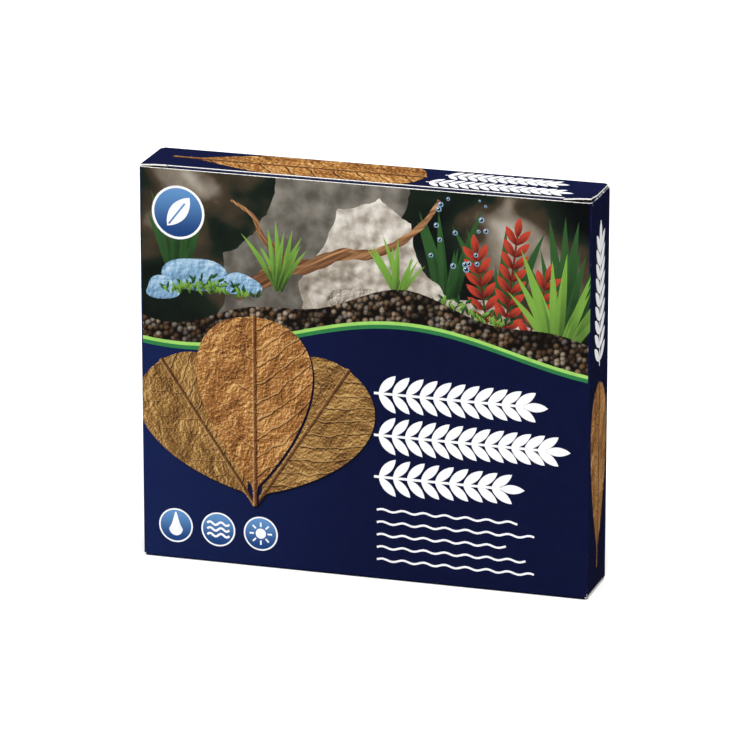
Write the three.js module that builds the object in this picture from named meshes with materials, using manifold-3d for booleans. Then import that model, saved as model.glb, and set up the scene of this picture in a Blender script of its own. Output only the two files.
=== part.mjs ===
// Folding carton for dried almond leaves: a reverse-tuck-end carton of printed white board.
// Millimetres, +Z up. The front panel faces -Y. The origin is the middle of the base.
import * as THREE from "three";
import { mergeVertices } from "three/addons/utils/BufferGeometryUtils.js";
import Module from "manifold-3d";

// The carton
const WIDTH = 160;
const DEPTH = 24;
const HEIGHT = 141;
const BOARD = 0.5; // caliper of the paperboard
const GAP = 0.3; // between panels that touch at a fold
const CORNER = 0.9; // outer radius of a creased corner
const CORNER_STEPS = 4;
const SEAM = 0.4; // of the left panel that is glued to the corner's fold at its full height
const GLUE_FLAP_DEPTH = 12;
const GLUE_FLAP_MARGIN = 5; // it starts this far from the carton's two ends
const GLUE_FLAP_TAPER = 5; // and its free edge is cut back this much further
const SIDE_MARGIN = 0.4; // lids are this much narrower than the carton at each side

// Lids and their tucks
const TUCK_LENGTH = 11;
const TUCK_LEAN = THREE.MathUtils.degToRad(18); // the tuck springs in from its wall
const TUCK_HALF_WIDTH = 76;
const TUCK_RADIUS = 8;
const SLIT_LENGTH = 10; // slit lock at each end of the lid's fold
const SLIT_DROP = 0.9; // the tuck's shoulders are cut this far below the fold
const EAR = 0.5; // the lid's corners outside the slits reach this much further

// Dust flaps
const FLAP_LENGTH = 44;
const FLAP_TUCK_SIDE = 7; // half depth on the side where the tuck slides past
const FLAP_LID_SIDE = 10.4; // half depth on the side of the lid's crease
const FLAP_CUT = 6; // chamfer at the free corners

// Dried leaves, in two stacks that stand on their broad tips
const LEAVES_PER_STACK = 6;
const STACK_CENTRE = 39.5;
const LEAF_LENGTH = 108;
const LEAF_HALF_WIDTH = 32.5;
const LEAF_THICKNESS = 0.6;
const LEAF_PITCH = 1.6;
const STALK_SHARE = 0.09; // of the leaf's length
const STALK_HALF_WIDTH = 1.2;
const TIP_HALF_WIDTH = 2;
const BASE_POWER = 0.95; // the blade's outline narrows like this towards the stalk
const TIP_POWER = 0.45; // and rounds off like this at the broad tip
const RIB_RISE = 0.25; // the midrib stands out by this much on both faces
const VEIN_RISE = 0.12;
const VEIN_SWEEP = 0.13; // side veins run towards the tip
const LEAF_ROWS = 14;
const LEAF_COLUMNS = 6;
const LENGTH_SPREAD = 3; // how far one leaf may differ from the next
const WIDTH_SPREAD = 1;
const SHIFT_SPREAD = 0.8;
const LEAN_SPREAD = THREE.MathUtils.degToRad(2.2);
const LEAF_SEED = 2718;
const WAVE = 1.7; // height of the waves that the dried leaves share
const WAVE_LENGTH = 62;
const CROSS_SHARE = 0.38; // of the wave's height that runs across the leaves
const CROSS_PACE = 0.8; // waves across for each wave along
const WAVE_SLANT = 0.35;

const BOARD_COLOUR = 0x12204a;
const LEAF_COLOUR = 0x96683a;

const wasm = await Module();
wasm.setup();

const insideFront = -DEPTH / 2 + BOARD;
const tuckRoot = -insideFront - GAP; // outer face of a tuck at its crease
const lidUnderside = HEIGHT - BOARD;
const wallTop = lidUnderside - GAP;
const topFlapUpper = wallTop;
const bottomFlapLower = BOARD + GAP;

// Even draws between -1 and 1, the same each time, by a multiplicative generator.
function seededDraws(seed) {
  const factor = 48271;
  const modulus = 2147483647;
  let state = seed;
  return () => {
    state = (state * factor) % modulus;
    return (state / modulus) * 2 - 1;
  };
}

function outlineShape(points) {
  return new THREE.Shape(points.map(([x, y]) => new THREE.Vector2(x, y)));
}

// A flat panel: an outline in x and y, extruded from one height to another.
function panelGeometry(shape, low, high) {
  const geometry = new THREE.ExtrudeGeometry(shape, {
    depth: high - low,
    bevelEnabled: false,
    curveSegments: CORNER_STEPS,
  });
  return geometry.translate(0, 0, low);
}

function boxGeometry(low, high) {
  const size = high.map((value, i) => value - low[i]);
  const centre = high.map((value, i) => (value + low[i]) / 2);
  return new THREE.BoxGeometry(...size).translate(...centre);
}

function toSolid(geometry) {
  const bare = geometry.clone();
  bare.deleteAttribute("normal");
  bare.deleteAttribute("uv");
  const merged = mergeVertices(bare, 1e-4);
  return new wasm.Manifold(
    new wasm.Mesh({
      numProp: 3,
      vertProperties: new Float32Array(merged.attributes.position.array),
      triVerts: new Uint32Array(merged.index.array),
    }),
  );
}

function toGeometry(solid) {
  const { vertProperties, triVerts } = solid.getMesh();
  const geometry = new THREE.BufferGeometry();
  geometry.setAttribute("position", new THREE.BufferAttribute(vertProperties, 3));
  geometry.setIndex(new THREE.BufferAttribute(triVerts, 1));
  geometry.computeVertexNormals();
  return geometry;
}

function boardMesh(name, geometry) {
  const material = new THREE.MeshStandardMaterial({
    color: BOARD_COLOUR,
    roughness: 0.35,
    metalness: 0,
  });
  const mesh = new THREE.Mesh(geometry, material);
  mesh.name = name;
  return mesh;
}

// Points of a quarter turn round a corner, from one angle to the next.
function cornerPoints(x, y, radius, startAngle, turn) {
  const points = [];
  for (let i = 0; i <= CORNER_STEPS; i++) {
    const angle = startAngle + (turn * i) / CORNER_STEPS;
    points.push([x + radius * Math.cos(angle), y + radius * Math.sin(angle)]);
  }
  return points;
}

// The ring of four walls, seen from above. The left panel's raw edge lies over the glue flap,
// so the back left corner folds one board thickness further in.
function wallRing() {
  const halfWidth = WIDTH / 2;
  const halfDepth = DEPTH / 2;
  const quarter = Math.PI / 2;
  const ring = (inset, radius) => {
    const x = halfWidth - inset - radius;
    const y = halfDepth - inset - radius;
    return { x, y, radius };
  };
  const outer = ring(0, CORNER);
  const inner = ring(BOARD, CORNER - BOARD);
  const outline = [
    ...cornerPoints(-outer.x, -outer.y, outer.radius, -2 * quarter, quarter),
    ...cornerPoints(outer.x, -outer.y, outer.radius, -quarter, quarter),
    ...cornerPoints(outer.x, outer.y, outer.radius, 0, quarter),
    ...cornerPoints(-outer.x + BOARD, outer.y, outer.radius, quarter, quarter),
    [-halfWidth, outer.y],
  ];
  const hole = [
    ...cornerPoints(-inner.x, -inner.y, inner.radius, -2 * quarter, quarter),
    ...cornerPoints(inner.x, -inner.y, inner.radius, -quarter, quarter),
    ...cornerPoints(inner.x, inner.y, inner.radius, 0, quarter),
    ...cornerPoints(-inner.x + BOARD, inner.y, inner.radius, quarter, quarter),
    [-halfWidth + 2 * BOARD, outer.y - SEAM],
    [-halfWidth + BOARD, outer.y - SEAM],
  ];
  const shape = outlineShape(outline);
  shape.holes.push(outlineShape(hole.reverse()));
  return shape;
}

// The glue flap stands inside the left panel, with both ends cut back at a slant.
function glueFlapGeometry() {
  const foldY = DEPTH / 2 - CORNER;
  const freeY = foldY - GLUE_FLAP_DEPTH;
  const low = GLUE_FLAP_MARGIN;
  const high = HEIGHT - GLUE_FLAP_MARGIN;
  const shape = outlineShape([
    [foldY, low],
    [foldY, high],
    [freeY, high - GLUE_FLAP_TAPER],
    [freeY, low + GLUE_FLAP_TAPER],
  ]);
  const overlap = BOARD / 2; // sunk into the left panel, where it is glued
  const geometry = new THREE.ExtrudeGeometry(shape, {
    depth: BOARD + overlap,
    bevelEnabled: false,
  });
  geometry.applyMatrix4(
    new THREE.Matrix4().makeBasis(
      new THREE.Vector3(0, 1, 0),
      new THREE.Vector3(0, 0, 1),
      new THREE.Vector3(1, 0, 0),
    ),
  );
  return geometry.translate(-WIDTH / 2 + BOARD - overlap, 0, 0);
}

// A dust flap's outline on the right side: narrow where the tuck slides past, cut at its
// free corners. tuckSide is -1 where the tuck is at the front and 1 where it is at the back.
function dustFlapShape(rootX, tuckSide) {
  const free = WIDTH / 2 - FLAP_LENGTH;
  const tuckY = tuckSide * FLAP_TUCK_SIDE;
  const lidY = -tuckSide * FLAP_LID_SIDE;
  const points = [
    [rootX, tuckY],
    [free + FLAP_CUT, tuckY],
    [free, tuckY - tuckSide * FLAP_CUT],
    [free, lidY + tuckSide * FLAP_CUT],
    [free + FLAP_CUT, lidY],
    [rootX, lidY],
  ];
  return outlineShape(points);
}

function mirroredInX(geometry) {
  const mirrored = geometry.clone().scale(-1, 1, 1);
  const position = mirrored.attributes.position;
  const point = new THREE.Vector3();
  const other = new THREE.Vector3();
  for (let i = 0; i < position.count; i += 3) {
    point.fromBufferAttribute(position, i + 1);
    other.fromBufferAttribute(position, i + 2);
    position.setXYZ(i + 1, other.x, other.y, other.z);
    position.setXYZ(i + 2, point.x, point.y, point.z);
  }
  return mirrored;
}

// The folded and glued sleeve: walls, glue flap and the two bottom dust flaps.
function makeSleeve() {
  const beyond = 1; // how far the cutters reach past the board
  const sideFrom = WIDTH / 2 - BOARD - beyond;
  const sideTo = WIDTH / 2 + beyond;
  const cornerY = DEPTH / 2 - CORNER;
  const sideTop = topFlapUpper - BOARD - GAP;
  let solid = toSolid(panelGeometry(wallRing(), 0, wallTop));
  for (const side of [-1, 1]) {
    const span = [side * sideFrom, side * sideTo].sort((a, b) => a - b);
    const above = boxGeometry([span[0], -cornerY, sideTop], [span[1], cornerY, HEIGHT]);
    const below = boxGeometry([span[0], -cornerY, -beyond], [span[1], cornerY, bottomFlapLower]);
    solid = solid.subtract(toSolid(above)).subtract(toSolid(below));
  }
  const rootX = WIDTH / 2 - BOARD / 2;
  const flap = panelGeometry(
    dustFlapShape(rootX, 1),
    bottomFlapLower,
    bottomFlapLower + BOARD,
  );
  solid = solid
    .add(toSolid(glueFlapGeometry()))
    .add(toSolid(flap))
    .add(toSolid(mirroredInX(flap)));
  return boardMesh("sleeve", toGeometry(solid));
}

// The top lid lies over the back panel's edge, and its ears over the front panel's edge.
function topLidGeometry() {
  const halfWidth = WIDTH / 2 - SIDE_MARGIN;
  const slitX = WIDTH / 2 - SLIT_LENGTH;
  const creaseY = DEPTH / 2;
  const shape = outlineShape([
    [halfWidth, creaseY],
    [-halfWidth, creaseY],
    [-halfWidth, -tuckRoot - EAR],
    [-slitX, -tuckRoot - EAR],
    [-slitX, -tuckRoot],
    [slitX, -tuckRoot],
    [slitX, -tuckRoot - EAR],
    [halfWidth, -tuckRoot - EAR],
  ]);
  return panelGeometry(shape, lidUnderside, HEIGHT);
}

// The bottom lid lies between the front and back panels, whose edges the carton stands on.
// Its corners are cut to clear the folds of the side panels.
function bottomLidGeometry() {
  const halfWidth = WIDTH / 2 - SIDE_MARGIN;
  const shape = outlineShape([
    [halfWidth, -tuckRoot + CORNER],
    [halfWidth, tuckRoot - CORNER],
    [halfWidth - CORNER, tuckRoot],
    [-halfWidth + CORNER, tuckRoot],
    [-halfWidth, tuckRoot - CORNER],
    [-halfWidth, -tuckRoot + CORNER],
    [-halfWidth + CORNER, -tuckRoot],
    [halfWidth - CORNER, -tuckRoot],
  ]);
  return panelGeometry(shape, 0, BOARD);
}

// A tuck, drawn flat and downwards from its crease, with its outer face at y = 0.
function tuckGeometry() {
  const slitX = WIDTH / 2 - SLIT_LENGTH;
  const roundX = TUCK_HALF_WIDTH - TUCK_RADIUS;
  const roundZ = -TUCK_LENGTH + TUCK_RADIUS;
  const quarter = Math.PI / 2;
  const shape = outlineShape([
    [-TUCK_HALF_WIDTH, -SLIT_DROP],
    ...cornerPoints(-roundX, roundZ, TUCK_RADIUS, 2 * quarter, quarter),
    ...cornerPoints(roundX, roundZ, TUCK_RADIUS, -quarter, quarter),
    [TUCK_HALF_WIDTH, -SLIT_DROP],
    [slitX, -SLIT_DROP],
    [slitX, 0],
    [-slitX, 0],
    [-slitX, -SLIT_DROP],
  ]);
  const geometry = panelGeometry(shape, -BOARD, 0);
  return geometry.rotateX(quarter);
}

// The tuck hangs from its crease and leans in from the wall that it slides behind.
function placeTopTuck(mesh) {
  mesh.rotation.x = TUCK_LEAN;
  mesh.position.set(0, -tuckRoot, lidUnderside - GAP);
  return mesh;
}

function makeTopDustFlap(side) {
  const rootX = WIDTH / 2 - SIDE_MARGIN;
  const shape = dustFlapShape(rootX, -1);
  const geometry = panelGeometry(shape, topFlapUpper - BOARD, topFlapUpper);
  const name = side < 0 ? "top_dust_flap_left" : "top_dust_flap_right";
  return boardMesh(name, side < 0 ? mirroredInX(geometry) : geometry);
}

// The bottom tuck is the top one turned half round about the X axis.
function turnToBottom(object) {
  const turned = new THREE.Group();
  turned.add(object);
  turned.rotation.x = Math.PI;
  turned.position.z = HEIGHT;
  return turned;
}

// Height of the waves that all the leaves share, so that they nest in each other.
function waveAt(x, z) {
  const pace = (2 * Math.PI) / WAVE_LENGTH;
  const along = Math.sin(pace * (z + WAVE_SLANT * Math.abs(x)));
  const across = Math.cos(pace * CROSS_PACE * (x - WAVE_SLANT * z));
  return WAVE * ((1 - CROSS_SHARE) * along + CROSS_SHARE * across);
}

// Half width of a leaf at a share of its length, from the stalk's end to the broad tip.
function leafHalfWidth(share, halfWidth) {
  if (share < STALK_SHARE) return STALK_HALF_WIDTH;
  const s = (share - STALK_SHARE) / (1 - STALK_SHARE);
  const outline = (t) => Math.pow(t, BASE_POWER) * Math.pow(1 - t, TIP_POWER);
  const widest = BASE_POWER / (BASE_POWER + TIP_POWER);
  const blade = (halfWidth * outline(s)) / outline(widest);
  const floor = STALK_HALF_WIDTH + (TIP_HALF_WIDTH - STALK_HALF_WIDTH) * s;
  return Math.max(blade, floor);
}

// One dried leaf: a thin waved blade with its midrib and side veins raised on both faces.
function makeLeaf(name, centreX, layerY, footZ, draw) {
  const length = LEAF_LENGTH + LENGTH_SPREAD * draw();
  const halfWidth = LEAF_HALF_WIDTH + WIDTH_SPREAD * draw();
  const lean = LEAN_SPREAD * draw();
  const offset = SHIFT_SPREAD * draw();
  const rows = [];
  for (let i = 0; i <= LEAF_ROWS; i++) {
    const row = [];
    for (let j = 0; j <= LEAF_COLUMNS; j++) {
      const across = (2 * j) / LEAF_COLUMNS - 1;
      const even = i / LEAF_ROWS;
      const sweep = 4 * VEIN_SWEEP * Math.abs(across) * even * (1 - even);
      const share = even + sweep;
      const x = across * leafHalfWidth(share, halfWidth);
      const down = (1 - share) * length;
      const isBlade = i > 1 && i < LEAF_ROWS;
      const isRib = 2 * j === LEAF_COLUMNS;
      let rise = 0;
      if (isBlade && i % 2 === 0) rise = VEIN_RISE;
      if (isBlade && isRib) rise = RIB_RISE;
      row.push({
        x: centreX + offset + x * Math.cos(lean) + down * Math.sin(lean),
        z: down * Math.cos(lean) - x * Math.sin(lean),
        half: LEAF_THICKNESS / 2 + rise,
      });
    }
    rows.push(row);
  }
  const lowest = Math.min(...rows.flat().map((p) => p.z));
  const points = [];
  for (const face of [1, -1]) {
    for (const p of rows.flat()) {
      const z = p.z - lowest + footZ;
      points.push(p.x, layerY + waveAt(p.x, z) + face * p.half, z);
    }
  }
  const perRow = LEAF_COLUMNS + 1;
  const perFace = perRow * (LEAF_ROWS + 1);
  const index = [];
  const quad = (a, b, c, d) => index.push(a, b, c, a, c, d);
  for (let i = 0; i < LEAF_ROWS; i++) {
    for (let j = 0; j < LEAF_COLUMNS; j++) {
      const a = i * perRow + j;
      quad(a, a + 1, a + 1 + perRow, a + perRow);
      const b = a + perFace;
      index.push(b, b + 1 + perRow, b + 1, b, b + perRow, b + 1 + perRow);
    }
  }
  const rim = [];
  for (let j = 0; j < LEAF_COLUMNS; j++) rim.push(j);
  for (let i = 0; i < LEAF_ROWS; i++) rim.push(i * perRow + LEAF_COLUMNS);
  for (let j = LEAF_COLUMNS; j > 0; j--) rim.push(LEAF_ROWS * perRow + j);
  for (let i = LEAF_ROWS; i > 0; i--) rim.push(i * perRow);
  rim.forEach((a, i) => {
    const b = rim[(i + 1) % rim.length];
    quad(b, a, a + perFace, b + perFace);
  });
  const geometry = new THREE.BufferGeometry();
  geometry.setAttribute("position", new THREE.Float32BufferAttribute(points, 3));
  geometry.setIndex(index);
  geometry.computeVertexNormals();
  const material = new THREE.MeshStandardMaterial({
    color: LEAF_COLOUR,
    roughness: 0.75,
    metalness: 0,
  });
  const mesh = new THREE.Mesh(geometry, material);
  mesh.name = name;
  return mesh;
}

// Two stacks of six, standing on the bottom dust flaps, close behind the front panel.
function makeLeaves() {
  const leaves = [];
  const draw = seededDraws(LEAF_SEED);
  const footZ = bottomFlapLower + BOARD + GAP;
  const foremost = insideFront + GAP + WAVE + LEAF_THICKNESS / 2 + RIB_RISE;
  for (const [stack, side] of [-1, 1].entries()) {
    for (let layer = 0; layer < LEAVES_PER_STACK; layer++) {
      const number = stack * LEAVES_PER_STACK + layer + 1;
      const name = `leaf_${String(number).padStart(2, "0")}`;
      const layerY = foremost + layer * LEAF_PITCH;
      leaves.push(makeLeaf(name, side * STACK_CENTRE, layerY, footZ, draw));
    }
  }
  return leaves;
}

const carton = new THREE.Group();
carton.add(makeSleeve());
carton.add(boardMesh("top_lid", topLidGeometry()));
carton.add(placeTopTuck(boardMesh("top_tuck", tuckGeometry())));
carton.add(makeTopDustFlap(-1), makeTopDustFlap(1));
carton.add(boardMesh("bottom_lid", bottomLidGeometry()));
carton.add(turnToBottom(placeTopTuck(boardMesh("bottom_tuck", tuckGeometry()))));
carton.add(...makeLeaves());

export default carton;
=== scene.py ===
"""Folding carton of dried almond leaves.

One creased and printed paperboard blank, and the twelve leaves inside it.
"""

import math
import random

import bmesh
import bpy
from mathutils import Matrix, Vector
from mathutils.geometry import delaunay_2d_cdt


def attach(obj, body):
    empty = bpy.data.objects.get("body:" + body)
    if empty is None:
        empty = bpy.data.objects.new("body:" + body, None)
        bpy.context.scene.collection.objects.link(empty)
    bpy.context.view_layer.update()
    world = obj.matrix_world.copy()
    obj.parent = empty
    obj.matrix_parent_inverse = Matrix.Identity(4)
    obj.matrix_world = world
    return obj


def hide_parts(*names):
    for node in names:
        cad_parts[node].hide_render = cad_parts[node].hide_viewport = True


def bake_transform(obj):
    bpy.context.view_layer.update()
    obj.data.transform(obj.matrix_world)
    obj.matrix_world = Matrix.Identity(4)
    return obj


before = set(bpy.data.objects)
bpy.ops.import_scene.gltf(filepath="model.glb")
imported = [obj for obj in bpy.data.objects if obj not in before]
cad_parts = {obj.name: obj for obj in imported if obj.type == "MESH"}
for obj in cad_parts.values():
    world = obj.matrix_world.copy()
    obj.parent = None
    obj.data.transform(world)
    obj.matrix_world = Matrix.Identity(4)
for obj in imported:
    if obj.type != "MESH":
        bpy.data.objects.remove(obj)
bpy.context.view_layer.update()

# Sleeve: front, side, back and side panels of one white paperboard, creased at four corners and
# glued by a flap inside the left panel. Its outside is printed in offset inks under a thin
# semi-gloss coating. It is cut raw along the front panel's top, and white board shows there.
MM = 0.001
BOARD = 0.5
FRONT_HALF = 79.1
SIDE_HALF = 11.1
BACK_HALF = 78.85
GLUE_FLAP = 12.0
SIDE_FACE = 80
FOLD_RADIUS = 0.9
FOLD_STEPS = 12
LIP = 0.25  # flat board kept on both sides of a fold
WALL_TOP = 140.2
BACK_TOP = 139.85
SIDE_TOP = 139.05
SIDE_FOOT = 1.95
FRONT_FOOT = 1.15
RAW_FOOT = 0.9
BOW = 0.22  # how far the large panels stand out in their middle
SIDE_BOW = 0.3 * BOW

# The sleeve's inks. Where a fold has cracked one of them, the white board shows through.
FLAT_SIZE = 100  # millimetres of flat board to one unit of the print's UV map
CREASE_CRACK = (0.58, 0.86)  # crease with flecks at which an ink starts to crack, and is gone
MOTTLE = 0.9  # the darker spots of a plain finish, as a share of its colour


def ink_rgb(*levels):
    """A colour given in levels of 0 to 255, as Blender's linear colour."""
    linear = [((v / 255 + 0.055) / 1.055) ** 2.4 if v > 10 else v / 255 / 12.92 for v in levels]
    return (*linear, 1)


def dimmed(colour):
    return tuple(MOTTLE * part for part in colour[:3]) + (1,)


def join(tree, node, given):
    """Links or sets a shader node's inputs."""
    for key, value in given.items():
        if isinstance(value, bpy.types.NodeSocket):
            tree.links.new(value, node.inputs[key])
        else:
            node.inputs[key].default_value = value


def wire(tree, kind, given, out=0, **options):
    """Adds a shader node with its options and inputs, and gives one of its outputs."""
    node = tree.nodes.new("ShaderNode" + kind)
    for option, choice in options.items():
        setattr(node, option, choice)
    join(tree, node, given)
    return node.outputs[out]


def reckon(tree, operation, *values):
    return wire(tree, "Math", dict(enumerate(values)), operation=operation)


def scaled(tree, value, by, plus):
    return reckon(tree, "MULTIPLY_ADD", value, by, plus)


def stepped(tree, value, low, high):
    """Runs smoothly from 0 at low to 1 at high, and stays level beyond both."""
    given = {"Value": value, "From Min": low, "From Max": high}
    return wire(tree, "MapRange", given, interpolation_type="SMOOTHSTEP")


def mixed(tree, share, first, second):
    return wire(tree, "MixRGB", {0: share, 1: first, 2: second})


def toned(tree, share, *stops):
    """Runs a value of 0 to 1 through colours in levels of 0 to 255, at rising stops."""
    node = tree.nodes.new("ShaderNodeValToRGB")
    tree.links.new(share, node.inputs[0])
    marks = node.color_ramp.elements
    marks[0].position, marks[1].position = stops[0][0], stops[-1][0]
    marks[0].color, marks[1].color = ink_rgb(*stops[0][1]), ink_rgb(*stops[-1][1])
    for position, levels in stops[1:-1]:
        marks.new(position).color = ink_rgb(*levels)
    return node.outputs[0]


def speckle(tree, where, scale, detail=2.0, distortion=0.0):
    given = {"Vector": where, "Scale": scale, "Detail": detail, "Distortion": distortion}
    return wire(tree, "TexNoise", given)


def coordinate(tree, where, axis):
    return wire(tree, "SeparateXYZ", {0: where}, out=axis)


def object_place(tree):
    return wire(tree, "TexCoord", {}, out="Object")


def print_place(tree):
    return wire(tree, "UVMap", {}, uv_map="print")


def finish_skin(name, build):
    """A new finish, whose surface gets the inputs that are built on its own nodes."""
    finish = bpy.data.materials.new(name)
    finish.use_nodes = True
    tree = finish.node_tree
    join(tree, tree.nodes["Principled BSDF"], build(tree))
    return finish


BOARD_WHITE = ink_rgb(236, 234, 229)
BOARD_CREAM = ink_rgb(214, 207, 192)


def coated_ink(name, colour=None, paint=None):
    """An ink of one colour or of a painted picture, with the coating and the cracks at folds."""

    def build(tree):
        where = object_place(tree)
        if paint:
            shade = paint(tree)
        else:
            mottle = stepped(tree, speckle(tree, where, scale=260, detail=3), 0.35, 0.65)
            shade = mixed(tree, mottle, dimmed(colour), colour)
        # the crease attribute bares white board: cracks at folds, and on the tucks' folds partly a
        # painted highlight
        crease = wire(tree, "Attribute", {}, out="Fac", attribute_name="crease")
        flecks = scaled(tree, speckle(tree, where, scale=1300, detail=4), by=1.1, plus=-0.55)
        cracked = stepped(tree, reckon(tree, "ADD", crease, flecks), *CREASE_CRACK)
        gloss = scaled(tree, speckle(tree, where, scale=180, detail=4), by=0.16, plus=0.26)
        peel = speckle(tree, where, scale=1500)
        height = scaled(tree, speckle(tree, where, scale=38, detail=1), by=14.0, plus=peel)
        bump = wire(tree, "Bump", {"Strength": 0.35, "Distance": 0.00002, "Height": height})
        return {
            "Base Color": mixed(tree, cracked, shade, BOARD_WHITE),
            "Roughness": scaled(tree, cracked, by=0.4, plus=gloss),
            "Normal": bump,
            "IOR": 1.45,
            "Specular IOR Level": 0.18,
            "Coat Weight": 0.08,
            "Coat Roughness": 0.16,
        }

    return finish_skin(name, build)


def bare_board(name, colour):
    """Uncoated board: matt, with faint fibres."""

    def build(tree):
        fibres = speckle(tree, object_place(tree), scale=900, detail=6, distortion=1.5)
        bump = wire(tree, "Bump", {"Strength": 0.3, "Distance": 0.00003, "Height": fibres})
        shade = mixed(tree, stepped(tree, fibres, 0.3, 0.7), dimmed(colour), colour)
        return {"Base Color": shade, "Normal": bump, "Roughness": 0.78}

    return finish_skin(name, build)


def navy_paint(tree):
    """Deep navy, with painted light on the front panel: lighter and bluer towards the left."""
    place = object_place(tree)
    front = stepped(tree, coordinate(tree, place, "Y"), -0.011, -0.0119)
    # painted light: the front panel's navy is made lighter towards its left
    right = stepped(tree, coordinate(tree, place, "X"), -0.1, 0.02)
    left = reckon(tree, "SUBTRACT", 1.0, right)
    mottle = scaled(tree, speckle(tree, place, scale=300, detail=3), by=0.24, plus=-0.04)
    share = scaled(tree, left, by=front, plus=mottle)
    return toned(tree, share, (0.0, (7, 13, 50)), (1.0, (13, 28, 74)))


def badge_paint(tree):
    """Badge blue, from light at the top to deep at the foot."""
    up = coordinate(tree, print_place(tree), "Y")
    return toned(tree, stepped(tree, up, -0.9, 1.2), (0.0, (20, 58, 116)), (1.0, (92, 140, 190)))


def water_paint(tree):
    """Dark water with blurred stone and wood behind, on the flat print's own map."""
    where = print_place(tree)
    cloud = speckle(tree, where, scale=2.6, detail=2.5, distortion=0.5)
    return toned(
        tree,
        scaled(tree, speckle(tree, where, scale=14, detail=4), by=0.12, plus=cloud),
        (0.42, (10, 12, 14)),
        (0.56, (24, 34, 26)),
        (0.64, (66, 54, 40)),
        (0.72, (132, 122, 108)),
        (0.82, (186, 182, 172)),
    )


def lit_relief(tree, height, where, step, gain):
    """A relief as a photograph shows it, lit from the upper left: 0.5 where it is level."""
    nudged = wire(tree, "VectorMath", {0: where, 1: (-step, step, 0)}, operation="ADD")
    slope = reckon(tree, "SUBTRACT", height(tree, where), height(tree, nudged))
    return scaled(tree, slope, by=gain, plus=0.5)


def pebble_cells(tree, where, out=0):
    """Cells as large as small pebbles: the distance from a cell's middle, or the cell's tint."""
    given = {"Vector": where, "Scale": 52.0, "Randomness": 0.9}
    return wire(tree, "TexVoronoi", given, out=out)


def gravel_height(tree, where):
    return reckon(tree, "MULTIPLY", pebble_cells(tree, where), -1.0)


def gravel_paint(tree):
    """Small river gravel in browns and greys, each pebble rounded by light from the upper left."""
    where = print_place(tree)
    pebbles = toned(
        tree,
        coordinate(tree, pebble_cells(tree, where, out="Color"), "X"),
        (0.0, (70, 48, 32)),
        (0.4, (128, 98, 68)),
        (0.7, (176, 158, 134)),
        (1.0, (110, 106, 102)),
    )
    lit = lit_relief(tree, gravel_height, where, step=0.004, gain=1.6)
    between = stepped(tree, pebble_cells(tree, where), 0.75, 0.3)
    patches = stepped(tree, speckle(tree, where, scale=7, detail=3), 0.3, 0.6)
    light = reckon(tree, "MULTIPLY", reckon(tree, "MULTIPLY", between, patches), lit)
    return mixed(tree, light, ink_rgb(18, 14, 11), pebbles)


def blade_paint(low, high):
    """A picture of a plant's leaf: dark at its foot, light at its top, one half in its shade."""

    def paint(tree):
        where = print_place(tree)
        half = stepped(tree, coordinate(tree, where, "X"), -0.012, 0.012)
        rough = scaled(tree, speckle(tree, where, scale=2, detail=4), by=0.7, plus=-0.35)
        rough = scaled(tree, half, by=-0.28, plus=rough)
        patch = speckle(tree, object_place(tree), scale=90, detail=3)
        rough = scaled(tree, patch, by=0.5, plus=rough)
        lit = stepped(tree, reckon(tree, "ADD", coordinate(tree, where, "Y"), rough), -0.2, 1.1)
        return toned(tree, lit, (0.0, low), (1.0, high))

    return paint


def rock_height(tree, where):
    """Rough stone: broken faces of several sizes, and grain."""
    given = {"Vector": where, "Scale": 4.2, "Randomness": 1.0, "Detail": 3.0, "Roughness": 0.55}
    faces = wire(tree, "TexVoronoi", given)
    grain = speckle(tree, where, scale=4.0, detail=10, distortion=0.1)
    return scaled(tree, faces, by=-0.42, plus=grain)


def bark_height(tree, where):
    """Bark and grain that run along the map's Y."""
    drawn_out = wire(tree, "VectorMath", {0: where, 1: (26.0, 3.0, 1.0)}, operation="MULTIPLY")
    return speckle(tree, drawn_out, scale=1.4, detail=6, distortion=0.8)


def lit_paint(height, step, gain, *stops):
    """A picture of a rough thing: its relief lit, and lighter towards its top."""

    def paint(tree):
        where = print_place(tree)
        lit = lit_relief(tree, height, where, step, gain)
        return toned(tree, scaled(tree, coordinate(tree, where, "Y"), by=0.3, plus=lit), *stops)

    return paint


def leaf_veins(tree, where):
    """How far each place is on a midrib or side vein, on a map whose Y runs up the midrib."""
    out = coordinate(tree, where, "X")
    across = reckon(tree, "ABSOLUTE", out)
    swept = scaled(tree, across, by=-0.55, plus=coordinate(tree, where, "Y"))
    swept = scaled(tree, reckon(tree, "POWER", across, 2.0), by=-0.9, plus=swept)
    swept = scaled(tree, reckon(tree, "GREATER_THAN", out, 0.0), by=0.04, plus=swept)
    wobble = scaled(tree, speckle(tree, where, scale=9), by=0.07, plus=swept)
    phase = reckon(tree, "FRACT", reckon(tree, "MULTIPLY", wobble, 10.5))
    off_vein = reckon(tree, "ABSOLUTE", reckon(tree, "SUBTRACT", phase, 0.5))
    vein = reckon(tree, "SUBTRACT", 1.0, stepped(tree, off_vein, 0.0, 0.06))
    rib = reckon(tree, "SUBTRACT", 1.0, stepped(tree, across, 0.002, 0.013))
    return reckon(tree, "MAXIMUM", reckon(tree, "MULTIPLY", vein, 0.75), rib)


def leaf_height(tree, where):
    """A dried almond leaf's relief: crumples, small cockles between the veins, and the veins."""
    crumple = speckle(tree, where, scale=7, detail=9, distortion=0.7)
    cockle = speckle(tree, where, scale=60, detail=4, distortion=0.6)
    given = {"Vector": where, "Scale": 40.0}
    cell = wire(tree, "TexVoronoi", given, feature="DISTANCE_TO_EDGE")
    height = scaled(tree, cockle, by=0.22, plus=crumple)
    height = scaled(tree, stepped(tree, cell, 0.0, 0.2), by=-0.05, plus=height)
    return scaled(tree, leaf_veins(tree, where), by=0.2, plus=height)


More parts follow.
